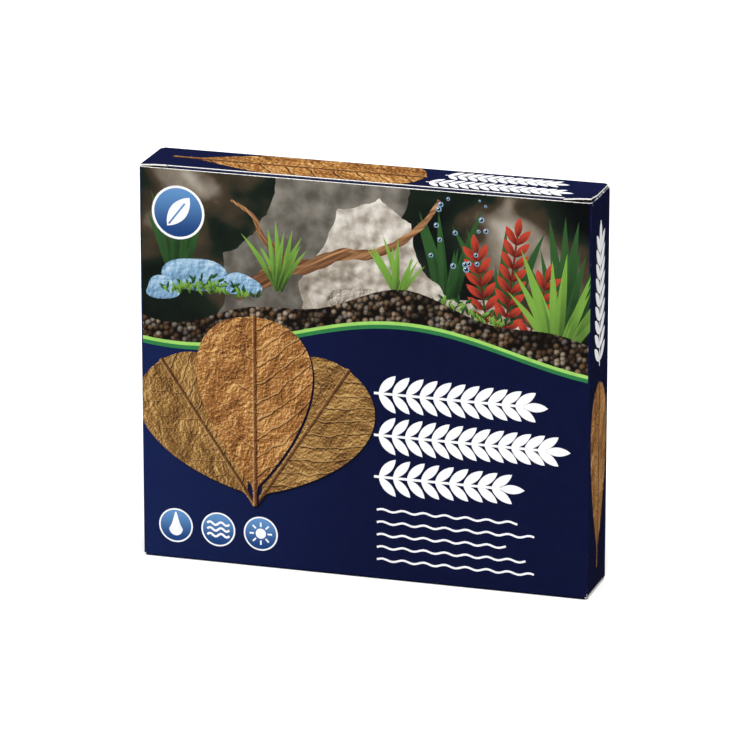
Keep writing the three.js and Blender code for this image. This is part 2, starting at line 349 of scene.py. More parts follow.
def leaf_paint(dark, middle, light):
    """A leaf's colours with its relief lit, as printed from a photograph."""

    def paint(tree):
        where = print_place(tree)
        relief = lit_relief(tree, leaf_height, where, step=0.005, gain=2.9)
        patches = scaled(tree, speckle(tree, where, scale=3.2, detail=3), by=0.7, plus=-0.35)
        lit = reckon(tree, "ADD", relief, patches)
        blade = toned(tree, lit, (0.18, dark), (0.5, middle), (0.86, light))
        on_vein = reckon(tree, "MULTIPLY", leaf_veins(tree, where), 0.8)
        return mixed(tree, on_vein, blade, LEAF_VEIN)

    return paint


LEAF_VEIN = ink_rgb(84, 42, 22)
GOLDEN_LEAF = ((66, 36, 16), (150, 98, 46), (228, 184, 118))
BROWN_LEAF = ((50, 30, 14), (132, 94, 46), (212, 174, 108))
STONE = ((0.1, (40, 36, 32)), (0.55, (150, 140, 126)), (1.0, (214, 208, 198)))
FAR_STONE = ((0.1, (30, 28, 26)), (0.6, (84, 80, 72)), (1.0, (136, 130, 120)))
BLUE_STONE = ((0.1, (52, 74, 108)), (0.55, (123, 161, 189)), (1.0, (214, 226, 234)))
WOOD = ((0.2, (36, 22, 14)), (0.55, (104, 68, 42)), (1.0, (178, 132, 88)))

white_board = bare_board("white_board", BOARD_WHITE)
cream_board = bare_board("cream_board", BOARD_CREAM)
navy_ink = coated_ink("navy_ink", paint=navy_paint)
white_ink = coated_ink("white_ink", ink_rgb(240, 240, 242))
lime_ink = coated_ink("lime_ink", ink_rgb(150, 202, 96))
green_ink = coated_ink("green_ink", ink_rgb(43, 118, 66))
shade_ink = coated_ink("shade_ink", ink_rgb(9, 14, 34))
badge_ink = coated_ink("badge_ink", paint=badge_paint)
water_ink = coated_ink("water_picture_ink", paint=water_paint)
gravel_ink = coated_ink("gravel_picture_ink", paint=gravel_paint)
stone_ink = coated_ink("stone_picture_ink", paint=lit_paint(rock_height, 0.03, 1.5, *STONE))
far_stone_ink = coated_ink(
    "far_stone_picture_ink", paint=lit_paint(rock_height, 0.05, 0.9, *FAR_STONE)
)
blue_stone_ink = coated_ink(
    "blue_stone_picture_ink", paint=lit_paint(rock_height, 0.04, 1.0, *BLUE_STONE)
)
wood_ink = coated_ink("wood_picture_ink", paint=lit_paint(bark_height, 0.008, 1.5, *WOOD))
plant_ink = coated_ink("plant_picture_ink", paint=blade_paint((16, 38, 16), (114, 158, 60)))
far_plant_ink = coated_ink("far_plant_picture_ink", paint=blade_paint((10, 24, 14), (46, 84, 40)))
red_plant_ink = coated_ink(
    "red_plant_picture_ink", paint=blade_paint((58, 12, 12), (178, 58, 38))
)
golden_leaf_ink = coated_ink("golden_leaf_picture_ink", paint=leaf_paint(*GOLDEN_LEAF))
brown_leaf_ink = coated_ink("brown_leaf_picture_ink", paint=leaf_paint(*BROWN_LEAF))

# The sleeve's artwork. Each motif is an area of one ink on the flat board, drawn upwards from its
# base point, turned and laid over what was printed before it.


def turned(points, base, turn):
    """Points turned clockwise and moved onto a base."""
    c, s = math.cos(turn), math.sin(turn)
    return [(base[0] + x * c + z * s, base[1] - x * s + z * c) for x, z in points]


def anticlockwise(points):
    """The outline's points in the order that the triangulation fills."""
    pairs = zip(points, points[1:] + points[:1])
    area = sum(x0 * z1 - x1 * z0 for (x0, z0), (x1, z1) in pairs)
    return points if area > 0 else points[::-1]


def motif(ink, points, base=(0, 0), turn=0.0, size=FLAT_SIZE):
    """An ink, its outline, and the place, turn and length that its print map is drawn to."""
    return (ink, anticlockwise(turned(points, base, turn)), base, turn, size)


def plain(ink, points):
    """An area whose print map is the flat board's own."""
    return (ink, anticlockwise(points), (0, 0), 0.0, FLAT_SIZE)


def pictured(ink, points, turn=0.0):
    """An area drawn in its place, whose print map runs from 0 at its foot to 1 at its top."""
    c, s = math.cos(turn), math.sin(turn)
    up = [x * s + z * c for x, z in points]
    across = sum(x * c - z * s for x, z in points) / len(points)
    foot, size = min(up), max(up) - min(up)
    return (ink, anticlockwise(points), (foot * s + across * c, foot * c - across * s), turn, size)


def shifted(motifs, distance):
    """Motifs drawn on one panel, moved to that panel's place on the flat sleeve."""
    moved = []
    for ink, outline, base, turn, size in motifs:
        outline = [(x + distance, z) for x, z in outline]
        moved.append((ink, outline, (base[0] + distance, base[1]), turn, size))
    return moved


def block(left, low, right, high):
    return [(left, low), (right, low), (right, high), (left, high)]


def disc(radius, steps=36):
    angles = [2 * math.pi * i / steps for i in range(steps)]
    return [(radius * math.cos(a), radius * math.sin(a)) for a in angles]


def lifted(path, up):
    return [(x, z + up) for x, z in path]


def strip_along(path, half_width):
    """A line along a path, with its half width given for the number of each point."""
    right, left = [], []
    for i, (x, z) in enumerate(path):
        before, after = path[max(i - 1, 0)], path[min(i + 1, len(path) - 1)]
        run = math.hypot(after[0] - before[0], after[1] - before[1])
        half = half_width(i)
        nx, nz = (after[1] - before[1]) / run * half, (before[0] - after[0]) / run * half
        right.append((x + nx, z + nz))
        left.append((x - nx, z - nz))
    return right + left[::-1]


def ribbon(path, width):
    return strip_along(path, lambda i: width / 2)


def branch(path, thick, thin):
    """A gnarled branch that tapers along a path."""
    last = len(path) - 1

    def half_width(i):
        half = (thick + (thin - thick) * i / last) / 2
        return half * (1 + 0.14 * math.sin(1.9 * i) * (i < last))

    return strip_along(path, half_width)


def eased(path, steps=5):
    """A path through the same points without corners."""
    path = [path[0], *path, path[-1]]
    curve = []
    for p0, p1, p2, p3 in zip(path, path[1:], path[2:], path[3:]):
        for i in range(steps):
            t = i / steps
            point = []
            for a, b, c, d in zip(p0, p1, p2, p3):
                square = 2 * a - 5 * b + 4 * c - d
                cube = 3 * (b - c) + d - a
                point.append(0.5 * (2 * b + (c - a) * t + square * t**2 + cube * t**3))
            curve.append(tuple(point))
    return [*curve, path[-1]]


def craggy(points, rough, draw):
    """An outline broken up as rough stone is: each side parted, and its middle moved."""
    for _ in range(4):
        broken = []
        for (x0, z0), (x1, z1) in zip(points, points[1:] + points[:1]):
            out = rough * draw.uniform(-1, 1)
            middle = ((x0 + x1) / 2 + out * (z1 - z0), (z0 + z1) / 2 - out * (x1 - x0))
            broken += [(x0, z0), middle]
        points = broken
    return points


def pebble(width, height, draw):
    """An uneven round outline, flatter at its foot."""
    points = []
    swell = [draw.uniform(-0.1, 0.1) for _ in range(3)]
    for x, z in disc(1, 28):
        a = math.atan2(z, x)
        r = 1 + swell[0] * math.cos(2 * a) + swell[1] * math.cos(3 * a + 1) + swell[2] * math.sin(a)
        points.append((width / 2 * r * x, height / 2 * r * (z if z > 0 else 0.7 * z)))
    return points


def leaflet(length, width, steps=9):
    """A small pointed leaf."""
    shares = [i / steps for i in range(1, steps)]
    side = [(width / 2 * math.sin(math.pi * t) ** 0.8, length * t) for t in shares]
    return [(0, 0), *side, (0, length), *[(-x, z) for x, z in reversed(side)]]


def bent_blade(length, width, bend, steps=9):
    """A long leaf that bends over to one side."""
    middle = [(bend * (i / steps) ** 2, length * i / steps) for i in range(steps + 1)]
    side = [width / 2 * math.sin(math.pi * min(0.12 + 0.88 * i / steps, 1)) for i in range(steps)]
    right = [(x + w, z) for (x, z), w in zip(middle, side)]
    left = [(x - w, z) for (x, z), w in zip(middle, side)]
    return right + [middle[-1]] + left[::-1]


def tuft(ink, foot, reach, count, spread, draw, slim=0.085):
    """A tuft of bent blades that fans out from its foot."""
    motifs = []
    for i in range(count):
        lean = math.radians(spread * (2 * i / (count - 1) - 1) + draw.uniform(-6, 6))
        length = reach * draw.uniform(0.6, 1.0)
        blade = bent_blade(length, slim * length, 0.3 * lean * length)
        place = (foot[0] + draw.uniform(-1.5, 1.5), foot[1])
        motifs.append(motif(ink, blade, place, 0.7 * lean, length))
    return motifs


def moss(ink, centre, width, height, count, draw):
    """Many short blades, thick in the middle of a low mound."""
    motifs = []
    for _ in range(count):
        x = centre[0] + width / 2 * draw.uniform(-1, 1)
        z = centre[1] + height * draw.uniform(0, 1) * (1 - abs(2 * (x - centre[0]) / width))
        length = draw.uniform(2.2, 4.2)
        turn = math.radians(draw.uniform(-70, 70))
        motifs.append(motif(ink, leaflet(length, 0.3 * length, 5), (x, z), turn, length))
    return motifs


def garland(ink, base, turn, length, leaf):
    """A stem with pairs of leaflets and one at its end."""
    stem = ribbon([(0, 0), (0, length / 2), (0, length - leaf)], 0.1 * leaf)
    motifs = [motif(ink, stem, base, turn)]
    count = max(int((length - leaf) / (0.52 * leaf)), 1)
    step = (length - leaf) / count
    for i in range(count):
        up = turned([(0, (i + 0.35) * step)], base, turn)[0]
        for side in (-1, 1):
            lean = turn + side * math.radians(48 - 14 * i / count)
            motifs.append(motif(ink, leaflet(leaf, 0.36 * leaf), up, lean, leaf))
    top = turned([(0, length - leaf * 1.05)], base, turn)[0]
    motifs.append(motif(ink, leaflet(leaf, 0.36 * leaf), top, turn, leaf))
    return motifs


def ripples(ink, left, length, width=0.75):
    """A thin waved line."""
    count = int(length / 1.1)
    xs = [length * i / count for i in range(count + 1)]
    path = [(left[0] + x, left[1] + 0.45 * math.sin(2 * math.pi * x / 7.5)) for x in xs]
    return [plain(ink, ribbon(path, width))]


# Half widths of an almond leaf from its stalk to its broad tip, as in the solid leaves.
STALK_SHARE = 0.09
BASE_POWER = 0.95
TIP_POWER = 0.45


def almond_half_width(share, half_width, stalk, tip):
    if share < STALK_SHARE:
        return stalk
    s = min((share - STALK_SHARE) / (1 - STALK_SHARE), 1)
    widest = BASE_POWER / (BASE_POWER + TIP_POWER)
    full = widest**BASE_POWER * (1 - widest) ** TIP_POWER
    blade = half_width * s**BASE_POWER * (1 - s) ** TIP_POWER / full
    return max(blade, stalk + (tip - stalk) * s)


def pictured_leaf(ink, base, turn, length, half_width, steps=44):
    """A pictured almond leaf, with a small point at its tip, over its own shadow."""
    side = []
    for i in range(steps):
        share = math.sin(math.pi / 2 * i / steps)
        side.append((almond_half_width(share, half_width, 0.011 * length, 0), share * length))
    outline = [*side, (0, length * 1.012), *[(-x, z) for x, z in reversed(side)]]
    shadow = motif(shade_ink, outline, (base[0] + 0.7, base[1] - 0.7), turn, length)
    return [shadow, motif(ink, outline, base, turn, length)]


def badge(centre, radius, sign):
    """A round badge: white rim, blue field, and one plain sign in white."""
    x, z = centre
    ring = motif(white_ink, disc(radius), centre, 0, radius)
    field = motif(badge_ink, disc(radius - 0.09 * radius), centre, 0, radius)
    motifs = [ring, field]
    if sign == "leaf":
        lean = math.radians(38)
        foot = (x - 0.42 * radius, z - 0.52 * radius)
        motifs.append(motif(white_ink, leaflet(1.4 * radius, 0.66 * radius), foot, lean, radius))
        vein = ribbon([(0, 0.1 * radius), (0, 1.1 * radius)], 0.07 * radius)
        motifs.append(motif(badge_ink, vein, foot, lean, radius))
    if sign == "drop":
        drop = []
        for px, pz in disc(0.4 * radius, 28):
            top = max(pz / (0.4 * radius), 0)
            drop.append((px * (1 - 0.55 * top), pz + 0.62 * radius * top**3))
        motifs.append(motif(white_ink, drop, (x, z - 0.2 * radius), 0, radius))
    if sign == "waves":
        for row in (-0.34, 0, 0.34):
            path = []
            for i in range(17):
                up = row + 0.09 * math.sin(4 * math.pi * i / 16)
                path.append((x + radius * (1.3 * i / 16 - 0.65), z + radius * up))
            motifs.append(plain(white_ink, ribbon(path, 0.13 * radius)))
    if sign == "sun":
        motifs.append(motif(white_ink, disc(0.3 * radius), centre, 0, radius))
        ray = block(-0.05 * radius, 0.4 * radius, 0.05 * radius, 0.66 * radius)
        for i in range(8):
            motifs.append(motif(white_ink, ray, centre, i * math.pi / 4, radius))
    return motifs


SWELL_LENGTH = 158
SWELL_START = -26


def swell_line(height, rise, half, steps=40):
    """The long S curve that parts picture from ground, running right across a panel."""
    xs = [-half + 2 * half * i / steps for i in range(steps + 1)]
    pace = 2 * math.pi / SWELL_LENGTH
    return [(x, height + rise * math.sin(pace * (x - SWELL_START))) for x in xs]


# Front panel: an underwater picture above an S curve with a lime and green line, dried leaves at
# the left, rows of white sprigs and ripple lines at the right, and round badges.
ART_SEED = 431
ART_TOP = 142
PRINT_OVER = 0.2  # how far a panel's print runs on beyond the panel
GRAVEL_DEPTH = 9
CLIFF = [(-56, 80), (-50, 112), (-38, 121), (-31, 147), (17, 147)]
CLIFF += [(8, 122), (13, 110), (4, 96), (6, 80)]
BIG_STONE = [(-22, 90), (-23, 104), (-15, 116), (-9, 131), (6, 136)]
BIG_STONE += [(17, 128), (21, 112), (31, 100), (30, 88)]
ROOT = [(-46, 99), (-38, 102), (-29, 108), (-19, 110), (-8, 115)]
ROOT += [(3, 116), (13, 121), (22, 129), (27, 137)]
TWIG = [(-27, 108), (-30, 114), (-36, 119), (-39, 126), (-47, 131)]
BUBBLES = 18

draw = random.Random(ART_SEED)
front_reach = FRONT_HALF + PRINT_OVER
edge = swell_line(86, 7, front_reach)
bed = [(x, z + GRAVEL_DEPTH + 2.5 * math.sin(x / 9)) for x, z in edge]
front_art = [plain(water_ink, edge + [(front_reach, ART_TOP), (-front_reach, ART_TOP)])]
front_art.append(pictured(far_stone_ink, craggy(CLIFF, 0.12, draw)))
for foot, reach in [((-66, 96), 40), ((30, 94), 44), ((70, 84), 52), ((48, 88), 46)]:
    front_art += tuft(far_plant_ink, foot, reach, 9, 20, draw)
front_art.append(pictured(stone_ink, craggy(BIG_STONE, 0.1, draw)))
front_art.append(pictured(wood_ink, branch(eased(ROOT), 7.0, 1.2), math.radians(63)))
front_art.append(pictured(wood_ink, branch(eased(TWIG), 3.8, 0.8), math.radians(-40)))
for x, z, width, height in [(38, 96, 27, 18), (56, 88, 18, 13), (-2, 98, 20, 12)]:
    front_art.append(motif(stone_ink, pebble(width, height, draw), (x, z), 0, height))
for x, z, width, height in [(-60, 103, 22, 15), (-44, 101, 14, 10), (-72, 97, 13, 9)]:
    front_art.append(motif(blue_stone_ink, pebble(width, height, draw), (x, z), 0, height))
for foot, lean, length in [((50, 92), 7, 42), ((44, 94), -9, 33), ((58, 90), 17, 30)]:
    front_art += garland(red_plant_ink, foot, math.radians(lean), length, 7.5)
for foot, reach, count in [((69, 82), 42, 13), ((13, 99), 26, 11), ((-30, 100), 26, 10)]:
    front_art += tuft(plant_ink, foot, reach, count, 34, draw)
for ink, centre, width, height, count in [
    (far_plant_ink, (32, 95), 40, 9, 60),
    (plant_ink, (30, 94), 38, 8, 70),
    (far_plant_ink, (-54, 97), 34, 6, 40),
    (plant_ink, (-56, 96), 30, 5, 45),
]:
    front_art += moss(ink, centre, width, height, count, draw)
front_art.append(plain(gravel_ink, edge + bed[::-1]))
front_art.append(plain(navy_ink, [(-front_reach, 0), (front_reach, 0), *edge[::-1]]))
for _ in range(BUBBLES):
    x, z, r = draw.uniform(24, 44), draw.uniform(112, 138), draw.uniform(0.4, 1.2)
    front_art.append(motif(blue_stone_ink, disc(r, 14), (x, z), 0, 3 * r))
    front_art.append(motif(water_ink, disc(0.62 * r, 12), (x, z), 0, 3 * r))
    front_art.append(motif(white_ink, disc(0.22 * r, 8), (x - 0.3 * r, z + 0.3 * r), 0, r))
front_art.append(plain(lime_ink, lifted(edge, -1.2) + edge[::-1]))
front_art.append(plain(green_ink, lifted(edge, -2.6) + lifted(edge, -1.2)[::-1]))
for ink, lean, length in [
    (brown_leaf_ink, 33, 62),
    (brown_leaf_ink, -34, 60),
    (golden_leaf_ink, 0, 68),
]:
    front_art += pictured_leaf(ink, (-39, 22), math.radians(lean), length, 0.31 * length)
for z, length in [(67, 62), (52, 70), (37, 54)]:
    front_art += garland(white_ink, (4, z), math.pi / 2, length, 9)
for z, length in [(25, 50), (20.5, 56), (16, 46), (11.5, 53), (7, 56)]:
    front_art += ripples(white_ink, (5, z), length)
front_art += badge((-66, 125), 9.5, "leaf")
for x, sign in [(-68, "drop"), (-52.5, "waves"), (-37, "sun")]:
    front_art += badge((x, 12), 6.2, sign)

# Right side panel: a pictured leaf below and a standing sprig above. Left side panel: a sprig
# between two badges.
SIDE_OVER = 0.7  # how far a side panel's ground runs on over the corner folds
side_ground = plain(navy_ink, block(-SIDE_HALF - SIDE_OVER, -1, SIDE_HALF + SIDE_OVER, ART_TOP))
right_art = [side_ground, *pictured_leaf(golden_leaf_ink, (0, 8), 0, 66, 10)]
right_art += garland(white_ink, (0, 80), 0, 52, 9)
left_art = [side_ground, *garland(white_ink, (0, 36), 0, 66, 10)]
left_art += badge((0, 20), 7, "waves") + badge((0, 120), 7, "leaf")

# Back panel: the picture at the foot, three badges with arrows, a pictured leaf, and a sprig and
# lines of ripples.
back_reach = BACK_HALF + PRINT_OVER
low_edge = swell_line(40, 6, back_reach)
back_art = [
    plain(water_ink, [(-back_reach, -1), (back_reach, -1), *low_edge[::-1]]),
    plain(lime_ink, low_edge + lifted(low_edge, 1.2)[::-1]),
    plain(green_ink, lifted(low_edge, 1.2) + lifted(low_edge, 2.6)[::-1]),
]
for x in (-66, -36, 18, 66):
    back_art += tuft(far_plant_ink, (x, 2), 32, 9, 20, draw)
for x, z, width, height in [(-52, 12, 32, 22), (34, 11, 26, 17), (12, 9, 18, 12)]:
    back_art.append(motif(stone_ink, pebble(width, height, draw), (x, z), 0, height))
for x, reach in [(-25, 32), (56, 28)]:
    back_art += tuft(plant_ink, (x, 3), reach, 12, 32, draw)
for x in (-54, 34):
    back_art += moss(plant_ink, (x, 4), 40, 5, 50, draw)
for x, lean in [(-4, -8), (6, 9)]:
    back_art += garland(red_plant_ink, (x, 2), math.radians(lean), 30, 7)
back_art.append(plain(gravel_ink, [(-79, -1), (79, -1), (79, 6), (20, 8), (-30, 5), (-79, 8)]))
for x, sign in [(-54, "leaf"), (-14, "waves"), (26, "drop")]:
    back_art += badge((x, 98), 13, sign)
for x in (-34, 6):
    back_art.append(plain(white_ink, [(x - 3, 96), (x + 3.5, 98), (x - 3, 100)]))
back_art += pictured_leaf(golden_leaf_ink, (62, 62), math.radians(6), 62, 17)
back_art += garland(white_ink, (-68, 124), math.pi / 2, 92, 9)
for z, length in [(76, 96), (71, 104), (66, 88), (61, 99), (56, 72)]:
    back_art += ripples(white_ink, (-68, z), length)

# The sleeve's board, drawn flat on both sides of the front panel's middle, cut, printed and folded
# round from the left panel's raw edge. Its ink is worn along the folds, along the front panel's
# raw edge, and in one spot at that panel's lower right corner.
FOLD = FOLD_RADIUS * math.pi / 2
SIDE_LENGTH = 2 * SIDE_HALF
BACK_LENGTH = 2 * BACK_HALF
LEFT_RAW = -FRONT_HALF - FOLD - SIDE_LENGTH
RIGHT_PANEL = FRONT_HALF + FOLD
BACK_PANEL = RIGHT_PANEL + SIDE_LENGTH + FOLD
GLUE_FOLD = BACK_PANEL + BACK_LENGTH
GLUE_START = GLUE_FOLD + FOLD
GLUE_END = GLUE_START + GLUE_FLAP
GLUE_FOOT = 5
GLUE_TOP = 136
GLUE_SLANT = 5
FLAP_TUCK_SIDE = 7  # how far a dust flap reaches from the side panel's middle towards a tuck
FLAP_LID_SIDE = 10.4  # and towards a lid's crease
CUT_LEVEL = 0.4  # how far beyond a fold the top cut runs on level
CUT_STEP = 0.55  # how far beyond a fold it has stepped down to the dust flap
SPOT_WEAR = 0.36
SPOT_RADIUS = 1.6
SPOT_ASIDE = 0.7  # beyond the front panel's edge
SPOT_UP = 1
RAW_WEAR = 0.95  # how bare the ink is along the front panel's raw edge
RAW_WEAR_REACH = 0.35
CREASE_FALL = 1.5  # how sharply a fold's cracks gather in its middle
LINE_OVER = 2  # how far the lines that part the face run on beyond it
FIRST_ROW = 7
ROW_STEP = 9
PANEL_COLUMNS = 16
INSIDE_AREAS = 1  # what the triangulation gives: only what lies inside the given areas
MERGE = 1e-4
BOARD_SMOOTH = math.radians(30)

# Runs of the flat sleeve from the left panel's raw edge: length, how cracked the ink is where the
# run is a fold, and how far it stands out in its middle.
sleeve_runs = [
    (SIDE_LENGTH, None, SIDE_BOW),
    (FOLD, 0.4, 0),
    (2 * FRONT_HALF, None, BOW),
    (FOLD, 0.44, 0),
    (SIDE_LENGTH, None, SIDE_BOW),
    (FOLD, 0.4, 0),
    (BACK_LENGTH, None, BOW),
    (FOLD, 0.3, 0),
    (GLUE_FLAP, None, 0),
]


def smooth(t):
    t = min(max(t, 0), 1)
    return t * t * (3 - 2 * t)


def round_sleeve(s, z):
    """A flat place on the sleeve, folded round: its point, and how cracked the ink is there."""
    point = Vector((-SIDE_FACE, SIDE_HALF))
    heading = Vector((0, -1))
    start = LEFT_RAW
    crack = 0
    for length, fold_crack, bow in sleeve_runs:
        run = min(s - start, length)
        outward = Vector((heading.y, -heading.x))
        if fold_crack is None:
            point = point + heading * run
            if s - start < length:
                across = math.sin(math.pi * run / length)
                up = math.sin(math.pi * min(max(z / WALL_TOP, 0), 1))
                point = point + outward * bow * across * up
        else:
            angle = run / FOLD_RADIUS
            aside = heading * math.sin(angle) - outward * (1 - math.cos(angle))
            point = point + FOLD_RADIUS * aside
            heading = heading * math.cos(angle) - outward * math.sin(angle)
            if s - start <= length:
                crack = fold_crack * (1 - abs(2 * run / length - 1)) ** CREASE_FALL
        if s - start <= length:
            break
        start += length
    spot = math.hypot(s - FRONT_HALF - SPOT_ASIDE, z - SPOT_UP)
    crack += SPOT_WEAR * (1 - smooth(spot / SPOT_RADIUS))
    if abs(s) <= FRONT_HALF:
        crack += RAW_WEAR * (1 - smooth((WALL_TOP - z) / RAW_WEAR_REACH))
    return Vector((point.x * MM, point.y * MM, z * MM)), crack


def alone(piece):
    """Selects one piece and nothing else."""
    bpy.ops.object.select_all(action="DESELECT")
    piece.select_set(True)
    bpy.context.view_layer.objects.active = piece


def thicken(board):
    """Gives a printed face its board: white at the cut edges and cream inside."""
    faces = len(board.data.polygons)
    alone(board)
    solidify = board.modifiers.new("board", "SOLIDIFY")
    solidify.thickness = BOARD * MM
    solidify.offset = -1
    solidify.use_even_offset = True
    solidify.use_quality_normals = True
    bpy.ops.object.modifier_apply(modifier=solidify.name)
    slots = len(board.data.materials)
    for number, polygon in enumerate(board.data.polygons):
        if number >= faces:
            polygon.material_index = slots - 1 if number < 2 * faces else slots - 2
    bpy.ops.object.shade_smooth_by_angle(angle=BOARD_SMOOTH)


def printed_board(name, outline, motifs, lines, place):
    """A board cut to an outline, its face parted into areas of ink, folded and given thickness."""
    motifs = [plain(navy_ink, outline), *motifs]
    inks, points, faces, edges = [], [], [], []
    for ink, shape, _, _, _ in motifs:
        if ink not in inks:
            inks.append(ink)
        faces.append(list(range(len(points), len(points) + len(shape))))
        points += [Vector(p) for p in shape]
    for a, b in lines:
        edges.append((len(points), len(points) + 1))
        points += [Vector(a), Vector(b)]
    flat, _, cells, _, _, origins = delaunay_2d_cdt(
        points, edges, faces, INSIDE_AREAS, MERGE, True
    )
    kept = [(cell, max(ids)) for cell, ids in zip(cells, origins) if 0 in ids]
    used = sorted({v for cell, _ in kept for v in cell})
    order = {v: i for i, v in enumerate(used)}
    placed = [place(*flat[v]) for v in used]
    mesh = bpy.data.meshes.new(name)
    mesh.from_pydata([p for p, _ in placed], [], [[order[v] for v in cell] for cell, _ in kept])
    for ink in [*inks, white_board, cream_board]:
        mesh.materials.append(ink)
    crease = mesh.attributes.new("crease", "FLOAT", "POINT")
    crease.data.foreach_set("value", [crack for _, crack in placed])
    print_map = mesh.uv_layers.new(name="print")
    for polygon, (_, top) in zip(mesh.polygons, kept):
        ink, _, base, turn, size = motifs[top]
        polygon.material_index = inks.index(ink)
        c, s = math.cos(turn), math.sin(turn)
        for loop in polygon.loop_indices:
            x, z = flat[used[mesh.loops[loop].vertex_index]] - Vector(base)
            print_map.data[loop].uv = ((x * c - z * s) / size, (x * s + z * c) / size)
    board = bpy.data.objects.new(name, mesh)
    bpy.context.scene.collection.objects.link(board)
    thicken(board)
    return board


def columns(places, low, high):
    """Upright lines that part a flat board's face."""
    return [((x, low), (x, high)) for x in places]


def rows(places, left, right):
    return [((left, y), (right, y)) for y in places]


def right_side(y):
    return RIGHT_PANEL + SIDE_HALF + y


def left_side(y):
    return LEFT_RAW + SIDE_HALF - y


sleeve_outline = [
    (LEFT_RAW, RAW_FOOT),
    (left_side(FLAP_TUCK_SIDE), RAW_FOOT),
    (left_side(FLAP_TUCK_SIDE), SIDE_FOOT),
    (left_side(-FLAP_LID_SIDE), SIDE_FOOT),
    (left_side(-FLAP_LID_SIDE), RAW_FOOT),
    (-FRONT_HALF, RAW_FOOT),
    (-FRONT_HALF, FRONT_FOOT),
    (FRONT_HALF, FRONT_FOOT),
    (FRONT_HALF, RAW_FOOT),
    (right_side(-FLAP_LID_SIDE), RAW_FOOT),
    (right_side(-FLAP_LID_SIDE), SIDE_FOOT),
    (right_side(FLAP_TUCK_SIDE), SIDE_FOOT),
    (right_side(FLAP_TUCK_SIDE), RAW_FOOT),
    (RIGHT_PANEL + SIDE_LENGTH, RAW_FOOT),
    (BACK_PANEL, 0),
    (GLUE_START, 0),
    (GLUE_START, GLUE_FOOT),
    (GLUE_END, GLUE_FOOT + GLUE_SLANT),
    (GLUE_END, GLUE_TOP - GLUE_SLANT),
    (GLUE_START, GLUE_TOP),
    (GLUE_START, WALL_TOP),
    (GLUE_FOLD, WALL_TOP),
    (GLUE_FOLD, BACK_TOP),
    (BACK_PANEL, BACK_TOP),
    (BACK_PANEL, WALL_TOP),
    (RIGHT_PANEL + SIDE_LENGTH - CUT_LEVEL, WALL_TOP),
    (RIGHT_PANEL + SIDE_LENGTH - CUT_STEP, SIDE_TOP),
    (RIGHT_PANEL + CUT_STEP, SIDE_TOP),
    (RIGHT_PANEL + CUT_LEVEL, WALL_TOP),
    (-RIGHT_PANEL - CUT_LEVEL, WALL_TOP),
    (-RIGHT_PANEL - CUT_STEP, SIDE_TOP),
    (LEFT_RAW, SIDE_TOP),
]
fold_steps = [-LIP, *[FOLD * i / FOLD_STEPS for i in range(FOLD_STEPS + 1)], FOLD + LIP]
sleeve_lines = []
for fold_start in (-RIGHT_PANEL, FRONT_HALF, BACK_PANEL - FOLD, GLUE_FOLD):
    sleeve_lines += columns([fold_start + s for s in fold_steps], -LINE_OVER, ART_TOP)
row_places = range(FIRST_ROW, int(WALL_TOP), ROW_STEP)
sleeve_lines += rows(row_places, LEFT_RAW - LINE_OVER, GLUE_END + LINE_OVER)
for start, length in [(-FRONT_HALF, 2 * FRONT_HALF), (BACK_PANEL, BACK_LENGTH)]:
    places = [start + length * i / PANEL_COLUMNS for i in range(1, PANEL_COLUMNS)]
    sleeve_lines += columns(places, -LINE_OVER, ART_TOP)
# Closer lines over the worn spot, and one under the front panel's raw edge.
sleeve_lines += rows((2, 3.4), FRONT_HALF - 2.5, FRONT_HALF + 3.5)
sleeve_lines += rows([WALL_TOP - RAW_WEAR_REACH], -FRONT_HALF, FRONT_HALF)
sleeve_art = front_art + shifted(back_art, BACK_PANEL + BACK_HALF)
sleeve_art += shifted(right_art, RIGHT_PANEL + SIDE_HALF) + shifted(left_art, LEFT_RAW + SIDE_HALF)
sleeve_board = printed_board("sleeve_board", sleeve_outline, sleeve_art, sleeve_lines, round_sleeve)
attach(sleeve_board, "carton")
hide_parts("sleeve")

# Dust flaps: plain flaps of the same board at the side panels' ends, creased and folded in under
# the lids. Only the strip by the fold is printed. The bottom pair stays folded, and the top pair
# turns on its creases.
SIDES = (("left", -1), ("right", 1))
BLEED = 4.0
FLAP_REACH = 43.1
FLAP_CUT = 6
FLAP_SPAN = {
    "left": (-FLAP_LID_SIDE, FLAP_TUCK_SIDE),
    "right": (-FLAP_TUCK_SIDE, FLAP_LID_SIDE),
}
SHOULDER = 2.6  # the full width that a top dust flap keeps by its crease, short of the tuck
FREE_END = 1  # what lies closer than this to a flap's free edge belongs to that edge
EPS = 1e-6
UP, DOWN = (0, 0, 1), (0, 0, -1)


def edit(piece):
    """Opens a piece in edit mode with nothing selected."""
    alone(piece)
    bpy.ops.object.mode_set(mode="EDIT")
    bpy.ops.mesh.select_all(action="DESELECT")


def pick(piece, wanted):
    """Selects the open mesh's vertices that are wanted, and the edges and faces between them."""
    form = bmesh.from_edit_mesh(piece.data)
    for vertex in form.verts:
        vertex.select_set(False)
    form.select_flush(False)
    for vertex in form.verts:
        vertex.select_set(wanted(vertex.co / MM))
    form.select_flush(True)
    bmesh.update_edit_mesh(piece.data)


def push_out(x, y, z):
    """Extrudes the picked edge by a step in millimetres."""
    bpy.ops.mesh.extrude_edges_move(TRANSFORM_OT_translate={"value": (x * MM, y * MM, z * MM)})


def cut_across(plane, normal):
    """Cuts the whole open mesh along a plane through a point in millimetres."""
    bpy.ops.mesh.select_all(action="SELECT")
    bpy.ops.mesh.bisect(plane_co=[part * MM for part in plane], plane_no=normal)


